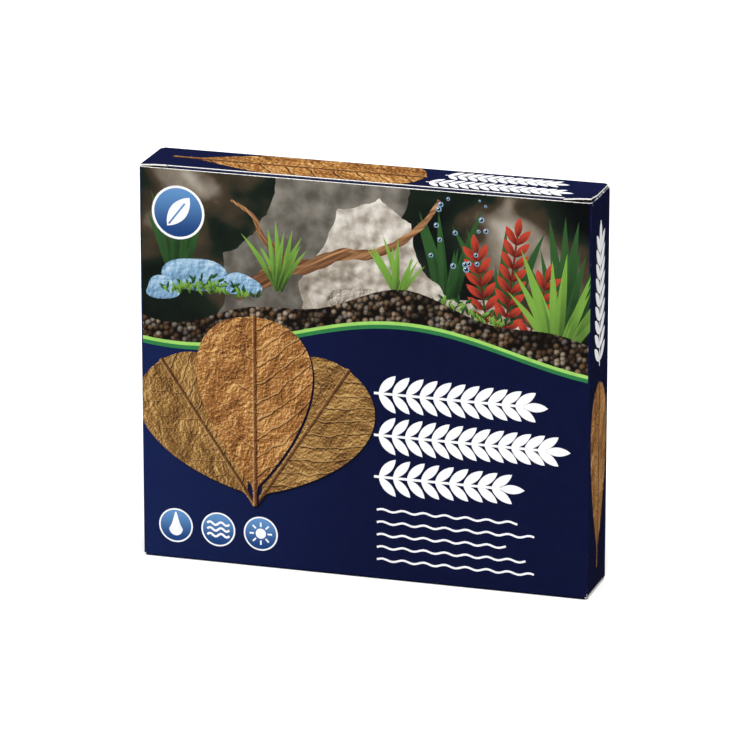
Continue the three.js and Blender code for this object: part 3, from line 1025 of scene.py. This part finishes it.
def flat_piece(name, low_x, high_x, low_y, high_y):
    """A flat piece of board, lying with its printed face up."""
    bpy.ops.object.select_all(action="DESELECT")
    centre = ((low_x + high_x) / 2 * MM, (low_y + high_y) / 2 * MM, 0)
    bpy.ops.mesh.primitive_plane_add(size=1, location=centre)
    piece = bpy.context.object
    piece.name = piece.data.name = name
    piece.scale = ((high_x - low_x) * MM, (high_y - low_y) * MM, 1)
    bpy.ops.object.transform_apply(location=True, rotation=True, scale=True)
    return piece


def fold_on(piece, turn):
    """Spins the edge at y = 0 down round a fold, and ends it in a short flat lip."""
    edit(piece)
    pick(piece, lambda co: co.y > -EPS)
    bpy.ops.mesh.spin(
        steps=FOLD_STEPS, angle=turn, center=(0, 0, -FOLD_RADIUS * MM), axis=(1, 0, 0)
    )
    push_out(0, LIP * math.cos(turn), -LIP * math.sin(turn))
    bpy.ops.object.mode_set(mode="OBJECT")


def crease_strip(name, half, turn, crack=0.3, crack_at=0.5, crack_reach=0.5):
    """The folded strip between two boards, its ink bared to white along one line of the fold:
    cracks, and on a tuck's fold partly a painted highlight.
    """
    strip = flat_piece(name, -half, half, -LIP, 0)
    fold_on(strip, turn)
    crease = strip.data.attributes.new("crease", "FLOAT", "POINT")
    for vertex, value in zip(strip.data.vertices, crease.data):
        y, z = vertex.co.y / MM, vertex.co.z / MM
        share = math.atan2(y, FOLD_RADIUS + z) / turn if y > 0 else 0
        near = max(1 - abs(share - crack_at) / crack_reach, 0)
        value.value = crack * near**CREASE_FALL
    return strip


def stand(piece, origin, along, outer):
    """Sets a piece that was made lying with its root at the origin, its free end along +Y."""
    along, outer = Vector(along), Vector(outer)
    turn = Matrix((along.cross(outer), along, outer)).transposed().to_4x4()
    piece.matrix_world = Matrix.Translation(Vector(origin) * MM) @ turn
    alone(piece)
    bpy.ops.object.transform_apply(location=True, rotation=True, scale=True)


def finish_board(board, origin, along, outer):
    """Prints a plain board near its root, sets it in place and gives it its thickness."""
    for finish in (navy_ink, white_board, cream_board):
        board.data.materials.append(finish)
    for polygon in board.data.polygons:
        is_past_fold = polygon.center.z < -(FOLD_RADIUS + LIP + BLEED) * MM
        is_bare = is_past_fold or polygon.center.y > BLEED * MM
        polygon.material_index = 1 if is_bare else 0
    stand(board, origin, along, outer)
    edit(board)
    bpy.ops.mesh.select_all(action="SELECT")
    bpy.ops.mesh.remove_doubles(threshold=EPS)
    bpy.ops.object.mode_set(mode="OBJECT")
    thicken(board)


def dust_flap(name, side, is_folded):
    """A flap with its free corners cut, with its own fold where it doesn't move."""
    if is_folded:
        flap = flat_piece(name, *FLAP_SPAN[side], -LIP, 0)
        fold_on(flap, math.pi / 2)
        edit(flap)
        foot = -(FOLD_RADIUS + LIP) + EPS
        pick(flap, lambda co: co.z < foot)
        push_out(0, 0, -BLEED)
        push_out(0, 0, -(FLAP_REACH - LIP - BLEED))
        free = -(FOLD_RADIUS + FLAP_REACH) + FREE_END
        pick(flap, lambda co: co.z < free)
    else:
        flap = flat_piece(name, *FLAP_SPAN[side], LIP, BLEED)
        edit(flap)
        pick(flap, lambda co: co.y > BLEED - EPS)
        push_out(0, FLAP_REACH - BLEED, 0)
        pick(flap, lambda co: co.y > FLAP_REACH - FREE_END)
    bpy.ops.mesh.bevel(offset=FLAP_CUT * MM, affect="VERTICES", segments=1)
    bpy.ops.object.mode_set(mode="OBJECT")
    return flap


def add_shoulder(flap, tuck_side):
    """Widens the flap by its crease to the crease's own width, on the side of the tuck."""
    edit(flap)
    cut_across((0, SHOULDER, 0), (0, 1, 0))
    pick(flap, lambda co: co.x * tuck_side > FLAP_TUCK_SIDE - EPS and co.y < SHOULDER + EPS)
    push_out(tuck_side * (FLAP_LID_SIDE - FLAP_TUCK_SIDE), 0, 0)
    bpy.ops.object.mode_set(mode="OBJECT")


def blend_fold(strip, start, end):
    """Sets a fold strip's place into its mesh."""
    start, end = Vector(start) * MM, Vector(end) * MM
    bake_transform(strip)


for side, way in SIDES:
    flap = dust_flap(f"bottom_dust_flap_{side}", side, True)
    finish_board(flap, (way * SIDE_FACE, 0, SIDE_FOOT - LIP), DOWN, (way, 0, 0))
    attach(flap, "carton")
    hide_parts("sleeve")

for side, way in SIDES:
    body = f"top_dust_flap_{side}"
    fold_start = (way * SIDE_FACE, 0, SIDE_TOP + LIP)
    fold_end = (way * (SIDE_FACE - FOLD_RADIUS), 0, SIDE_TOP + LIP + FOLD_RADIUS)
    strip = crease_strip(f"{body}_crease", FLAP_LID_SIDE, math.pi / 2, 0.72, crack_reach=0.9)
    finish_board(strip, fold_start, UP, (way, 0, 0))
    blend_fold(strip, fold_start, fold_end)
    flap = dust_flap(f"{body}_board", side, False)
    add_shoulder(flap, -way)
    finish_board(flap, fold_end, (-way, 0, 0), UP)
    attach(flap, body)
    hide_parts(body)

# Top lid: creased on the back panel, printed, with slit locks at both ends of its front fold.
# The ears outside the slits lie over the front panel's edge. Both spring up, the right one more.
LID_TOP = 141
LID_HALF = 79.6
LID_BACK = 11.1
LID_CORNER = 1.0
WALL_FACE = 12  # the back panel's face, and on the other side the front panel's
CREASE_HALF = 78.6
FOLD_FRONT = -10.221
SLIT = 70
SLIT_GAP = 0.15
EAR_FRONT = -11.7
EAR_LIFT = 0.85
EAR_LIFT_START = (67, -2)  # from where the right ear rises, towards its corner
EAR_LIFT_RUN = (12, 9.7)
LEFT_EAR_LIFT = 0.5  # at the slit, from where it falls away to the corner
LEFT_EAR_RUN = (7, 1.6)
CORNER_WEAR = 0.9
CORNER_WEAR_RADIUS = 0.9
FOLD_WEAR = 0.85
FOLD_WEAR_AT = 57
FOLD_WEAR_RADII = (2.6, 1.3)


def lid_outline(crease_half, ear):
    """A lid's cut outline: on both sides the slit, the ear and the end of the crease."""
    half = [
        (SLIT + SLIT_GAP, FOLD_FRONT + LIP),
        (SLIT + SLIT_GAP, ear),
        (LID_HALF, ear),
        (LID_HALF, LID_BACK - LIP - LID_CORNER),
        (crease_half, LID_BACK - LIP),
    ]
    return half + [(-x, y) for x, y in reversed(half)]


def lid_place(x, y):
    start_x, start_y = EAR_LIFT_START
    run_x, run_y = EAR_LIFT_RUN
    rise = EAR_LIFT * smooth((x - start_x) / run_x) * smooth((start_y - y) / run_y)
    if x < -SLIT:
        run_x, run_y = LEFT_EAR_RUN
        fall = smooth((x + LID_HALF) / run_x)
        rise += LEFT_EAR_LIFT * smooth((FOLD_FRONT + LIP - y) / run_y) * fall
    corner = math.hypot(x - LID_HALF, y - EAR_FRONT) / CORNER_WEAR_RADIUS
    radius_x, radius_y = FOLD_WEAR_RADII
    spot = math.hypot((x - FOLD_WEAR_AT) / radius_x, (y - FOLD_FRONT) / radius_y)
    worn = CORNER_WEAR * (1 - smooth(corner)) + FOLD_WEAR * (1 - smooth(spot))
    return Vector((x * MM, y * MM, (LID_TOP + rise) * MM)), worn


lid_art = pictured_leaf(golden_leaf_ink, (-72, 1), math.pi / 2, 90, 16)
lid_art += garland(white_ink, (24, 5.2), math.pi / 2, 44, 6.4)
lid_art += garland(white_ink, (20, -4.6), math.pi / 2, 52, 6.4)
# The lines that part the lid's face lie closer where the ears rise.
lid_lines = columns((*range(-75, 60, 15), 60, 63, 65, 67, 69, 72, 75, 78), -13, 12)
lid_lines += rows((-11.3, -10.8, -10.4, -9, -7, -5, -3, -1, 2, 5, 8), -81, 81)
lid_board = printed_board(
    "top_lid_board", lid_outline(CREASE_HALF, EAR_FRONT), lid_art, lid_lines, lid_place
)
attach(lid_board, "top_lid")
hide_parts("top_lid")

back_edge = (0, WALL_FACE, BACK_TOP + LIP)
lid_crease = crease_strip("top_lid_crease_strip", CREASE_HALF, math.pi / 2)
finish_board(lid_crease, back_edge, UP, (0, 1, 0))
blend_fold(lid_crease, back_edge, (0, LID_BACK, LID_TOP))

# Tucks: the lids' free ends, folded in behind the far wall, with rounded corners and shoulders
# cut back beside the slit locks.
TUCK_LEAN = math.radians(18)
TUCK_TURN = math.pi / 2 + TUCK_LEAN
TUCK_REACH = 10.6
TUCK_HALF = 76
TUCK_CORNER = TUCK_REACH - BLEED - 0.2
TUCK_SHOULDER = 0.9
FOLD_CENTRE = LID_TOP - FOLD_RADIUS


def tuck_board(name):
    """A tuck, drawn flat: its shoulders, the neck between the slits, and round free corners."""
    tuck = flat_piece(name, -TUCK_HALF, TUCK_HALF, TUCK_SHOULDER, BLEED)
    edit(tuck)
    pick(tuck, lambda co: co.y > BLEED - EPS)
    push_out(0, TUCK_REACH - BLEED, 0)
    pick(tuck, lambda co: co.y > TUCK_REACH - FREE_END)
    bpy.ops.mesh.bevel(offset=TUCK_CORNER * MM, affect="VERTICES", segments=8)
    for x in (-SLIT + SLIT_GAP, SLIT - SLIT_GAP):
        cut_across((x, 0, 0), (1, 0, 0))
    pick(tuck, lambda co: co.y < TUCK_SHOULDER + EPS and abs(co.x) < SLIT)
    push_out(0, LIP - TUCK_SHOULDER, 0)
    bpy.ops.object.mode_set(mode="OBJECT")
    return tuck


def folded_tuck(end, tuck_body):
    """The fold and the tuck at one end. Those at the other end are turned half round about X."""
    up = 1 if end == "top" else -1
    middle_z = LID_TOP / 2
    lid_face = (0, up * FOLD_FRONT, middle_z + up * LID_TOP / 2)
    reach_y = up * FOLD_FRONT - up * FOLD_RADIUS * math.cos(TUCK_LEAN)
    reach_z = middle_z + up * (FOLD_CENTRE - LID_TOP / 2 - FOLD_RADIUS * math.sin(TUCK_LEAN))
    tuck_face = (0, reach_y, reach_z)
    # the thin white line along the top of the tuck's fold is partly a cracked score line and partly
    # a painted highlight, where the fold's highlight falls
    strip = crease_strip(f"{end}_tuck_fold", SLIT - SLIT_GAP, TUCK_TURN, 1.9, 0.15, 0.25)
    finish_board(strip, lid_face, (0, -up, 0), (0, 0, up))
    blend_fold(strip, lid_face, tuck_face)
    tuck = tuck_board(f"{end}_tuck_board")
    along = (0, up * math.sin(TUCK_LEAN), -up * math.cos(TUCK_LEAN))
    outer = (0, -up * math.cos(TUCK_LEAN), -up * math.sin(TUCK_LEAN))
    finish_board(tuck, tuck_face, along, outer)
    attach(tuck, tuck_body)
    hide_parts(tuck_body)


folded_tuck("top", "top_tuck")

# Bottom lid: creased on the front panel's lower edge, with slit locks as on the top lid. It has a
# blank white field for a packing date.
BOTTOM_EAR = -11.2


def bottom_place(x, y):
    return Vector((x, -y, 0)) * MM, 0


bottom_art = garland(white_ink, (-70, 0), math.pi / 2, 52, 9)
bottom_art.append(plain(white_ink, block(-10, -6.5, 30, 6.5)))
for y in (-4, 0, 4):
    bottom_art += ripples(white_ink, (38, y), 34)
bottom_lid = printed_board(
    "bottom_lid_board", lid_outline(FRONT_HALF, BOTTOM_EAR), bottom_art, [], bottom_place
)
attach(bottom_lid, "bottom_lid")
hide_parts("bottom_lid")

front_edge = (0, -WALL_FACE, FRONT_FOOT - LIP)
bottom_crease = crease_strip("bottom_lid_crease_strip", FRONT_HALF, math.pi / 2)
finish_board(bottom_crease, front_edge, DOWN, (0, -1, 0))
blend_fold(bottom_crease, front_edge, (0, -LID_BACK, 0))
folded_tuck("bottom", "bottom_tuck")

# Twelve dried almond leaves in two stacks: thin waved blades that nest in each other, with the
# midrib and side veins standing out. They are brown, matt and brittle, and stand loose on the
# folded dust flaps.
LEAVES_PER_STACK = 6
STACK_CENTRE = 39.5
LEAF_LENGTH = 108
LEAF_HALF_WIDTH = 32.5
LEAF_BLADE = 0.45
LEAF_RIB = 1.0
LEAF_PITCH = 1.6
LEAF_FOOT = 1.6
LEAF_FRONT = -8.95
STALK_HALF_WIDTH = 1.2
TIP_HALF_WIDTH = 2
LEAF_ACROSS = 20
LEAF_ALONG = 56
VEIN_SWEEP = 0.13
VEIN_PAIRS = 14
VEIN_HEIGHT = 0.45  # where it leaves the midrib, as a share of the midrib's own height
VEIN_FADE = 0.6  # of that, lost on the way to the leaf's edge
VEIN_SLOPE = 3  # a side vein is gone a third of the way to the next one
RIB_SLOPE = 9  # the midrib is gone a ninth of the way to the leaf's edge
END_HEIGHT = 0.35  # at the stalk and the tip, beyond the side veins
LEAF_SEED = 2718
DRAW_FACTOR = 48271
DRAW_MODULUS = 2147483647
LENGTH_SPREAD = 3
WIDTH_SPREAD = 1
SHIFT_SPREAD = 0.8
LEAN_SPREAD = math.radians(2.2)
WAVE = 1.7
WAVE_LENGTH = 62
CROSS_SHARE = 0.38
CROSS_PACE = 0.8
WAVE_SLANT = 0.35
LEAF_SMOOTH = math.radians(50)


def dried_leaf_finish(name, dark, middle, light):
    def build(tree):
        where = print_place(tree)
        height = leaf_height(tree, where)
        spots = speckle(tree, where, scale=9, detail=9, distortion=0.2)
        patches = scaled(tree, spots, by=0.45, plus=-0.22)
        tone = reckon(tree, "ADD", patches, height)
        blade = toned(tree, tone, (0.3, dark), (0.55, middle), (0.85, light))
        on_vein = reckon(tree, "MULTIPLY", leaf_veins(tree, where), 0.6)
        bump = wire(tree, "Bump", {"Strength": 1.0, "Distance": 0.004, "Height": height})
        shade = mixed(tree, on_vein, blade, LEAF_VEIN)
        return {"Base Color": shade, "Normal": bump, "Roughness": 0.68}

    return finish_skin(name, build)


dried_leaf_finishes = [
    dried_leaf_finish("dried_leaf_golden", *GOLDEN_LEAF),
    dried_leaf_finish("dried_leaf_brown", (78, 46, 26), (126, 82, 46), (172, 128, 80)),
    dried_leaf_finish("dried_leaf_red", (92, 44, 24), (140, 78, 42), (186, 128, 76)),
]


def leaf_wave(x, z):
    """Height of the waves that all the leaves share."""
    pace = 2 * math.pi / WAVE_LENGTH
    along = math.sin(pace * (z + WAVE_SLANT * abs(x)))
    across = math.cos(pace * CROSS_PACE * (x - WAVE_SLANT * z))
    return WAVE * ((1 - CROSS_SHARE) * along + CROSS_SHARE * across)


def leaf_draws(seed):
    """The same even draws from -1 to 1 as the solid leaves were made with."""
    state = seed
    while True:
        state = state * DRAW_FACTOR % DRAW_MODULUS
        yield state / DRAW_MODULUS * 2 - 1


def rib_share(across, even):
    """How far a place on the leaf's grid stands out, as a share of the midrib's height."""
    row = even * VEIN_PAIRS
    if not 0.5 < row < VEIN_PAIRS - 0.5:
        return END_HEIGHT
    on_vein = max(1 - VEIN_SLOPE * abs(row - round(row)), 0)
    on_vein *= VEIN_HEIGHT * (1 - VEIN_FADE * abs(across))
    return max(1 - RIB_SLOPE * abs(across), 0, on_vein)


def dried_leaf(number, centre_x, layer_y, draws, finish):
    """One leaf, stalk up, on a grid whose rows sweep towards the tip as its side veins do."""
    length = LEAF_LENGTH + LENGTH_SPREAD * next(draws)
    half_width = LEAF_HALF_WIDTH + WIDTH_SPREAD * next(draws)
    lean = LEAN_SPREAD * next(draws)
    middle_x = centre_x + SHIFT_SPREAD * next(draws)
    bpy.ops.object.select_all(action="DESELECT")
    bpy.ops.mesh.primitive_grid_add(x_subdivisions=LEAF_ACROSS, y_subdivisions=LEAF_ALONG, size=2)
    leaf = bpy.context.object
    leaf.name = leaf.data.name = f"dried_leaf_{number:02d}"
    mesh = leaf.data
    while mesh.uv_layers:
        mesh.uv_layers.remove(mesh.uv_layers[0])
    ribs = leaf.vertex_groups.new(name="ribs")
    flat, lain = [], []
    for vertex in mesh.vertices:
        across, even = vertex.co.x, (vertex.co.y + 1) / 2
        share = even + 4 * VEIN_SWEEP * abs(across) * even * (1 - even)
        x = across * almond_half_width(share, half_width, STALK_HALF_WIDTH, TIP_HALF_WIDTH)
        down = length - share * length
        flat.append((x / length, share))
        across_x = middle_x + x * math.cos(lean) + down * math.sin(lean)
        lain.append((across_x, down * math.cos(lean) - x * math.sin(lean)))
        ribs.add([vertex.index], rib_share(across, even), "REPLACE")
    print_map = mesh.uv_layers.new(name="print")
    for loop in mesh.loops:
        print_map.data[loop.index].uv = flat[loop.vertex_index]
    lowest = min(z for _, z in lain)
    for vertex, (x, z) in zip(mesh.vertices, lain):
        z = z - lowest + LEAF_FOOT
        vertex.co = Vector((x, layer_y + leaf_wave(x, z), z)) * MM
    alone(leaf)
    solidify = leaf.modifiers.new("blade", "SOLIDIFY")
    solidify.thickness = LEAF_RIB * MM
    solidify.offset = 0
    solidify.vertex_group = "ribs"
    solidify.thickness_vertex_group = LEAF_BLADE / LEAF_RIB
    bpy.ops.object.modifier_apply(modifier=solidify.name)
    bpy.ops.object.shade_smooth_by_angle(angle=LEAF_SMOOTH)
    mesh.materials.append(finish)
    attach(leaf, "carton")
    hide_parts(f"leaf_{number:02d}")


leaf_draw = leaf_draws(LEAF_SEED)
for stack, side in enumerate((-1, 1)):
    for layer in range(LEAVES_PER_STACK):
        number = stack * LEAVES_PER_STACK + layer + 1
        finish = dried_leaf_finishes[(number * 2 + stack) % len(dried_leaf_finishes)]
        layer_y = LEAF_FRONT + layer * LEAF_PITCH
        dried_leaf(number, side * STACK_CENTRE, layer_y, leaf_draw, finish)

# Studio: a plain white floor under soft light from above and from the front. The camera stands
# to the carton's right and above it, far off with a long lens, as for a product photograph. The
# lengths here are in metres.
FLOOR_SIZE = 12
FLOOR_TOP = -0.0002
SKY_LOW = 0.02
SKY_HIGH = 1.75
SUN_FROM = Vector((0.1, -0.42, 0.9))
SUN_SPREAD = math.radians(40)
SUN_STRENGTH = 2.9
CAMERA_PLACE = (0.5484, -1.7817, 0.6564)
CAMERA_AZIMUTH = math.radians(17.09)
CAMERA_ELEVATION = math.radians(17.48)
LENS = 273.6
CAMERA_REACH = 20


def aim(thing, axis, way):
    """Turns a light or the camera so that its own axis points the given way."""
    thing.rotation_mode = "QUATERNION"
    thing.rotation_quaternion = way.to_track_quat(axis, "Y")


bpy.ops.object.select_all(action="DESELECT")
bpy.ops.mesh.primitive_plane_add(size=FLOOR_SIZE, location=(0, 0, FLOOR_TOP))
floor = bpy.context.object
floor.name = "studio_floor"
paper = finish_skin(
    "studio_paper", lambda tree: {"Base Color": (0.9, 0.9, 0.9, 1), "Roughness": 1.0}
)
floor.data.materials.append(paper)
floor.visible_glossy = False

world = bpy.data.worlds.new("studio")
bpy.context.scene.world = world
world.use_nodes = True
sky = world.node_tree
upward = coordinate(sky, wire(sky, "TexCoord", {}, out="Generated"), "Z")
given = {"Value": upward, "From Min": 0.5, "From Max": 0.95, "To Min": SKY_LOW, "To Max": SKY_HIGH}
glow = wire(sky, "MapRange", given, interpolation_type="SMOOTHSTEP")
join(sky, sky.nodes["Background"], {"Strength": glow, "Color": (1, 1, 1, 1)})

sun_data = bpy.data.lights.new("overhead", "SUN")
sun_data.energy = SUN_STRENGTH
sun_data.angle = SUN_SPREAD
sun = bpy.data.objects.new("overhead", sun_data)
bpy.context.scene.collection.objects.link(sun)
aim(sun, "Z", SUN_FROM)

camera_data = bpy.data.cameras.new("camera")
camera_data.lens = LENS
camera_data.clip_end = CAMERA_REACH
camera = bpy.data.objects.new("camera", camera_data)
bpy.context.scene.collection.objects.link(camera)
bpy.context.scene.camera = camera
camera.location = CAMERA_PLACE
level = math.cos(CAMERA_ELEVATION)
aside, forward = math.sin(CAMERA_AZIMUTH) * level, -math.cos(CAMERA_AZIMUTH) * level
towards_camera = Vector((aside, forward, math.sin(CAMERA_ELEVATION)))
aim(camera, "-Z", -towards_camera)
bpy.context.scene.view_settings.view_transform = "Standard"
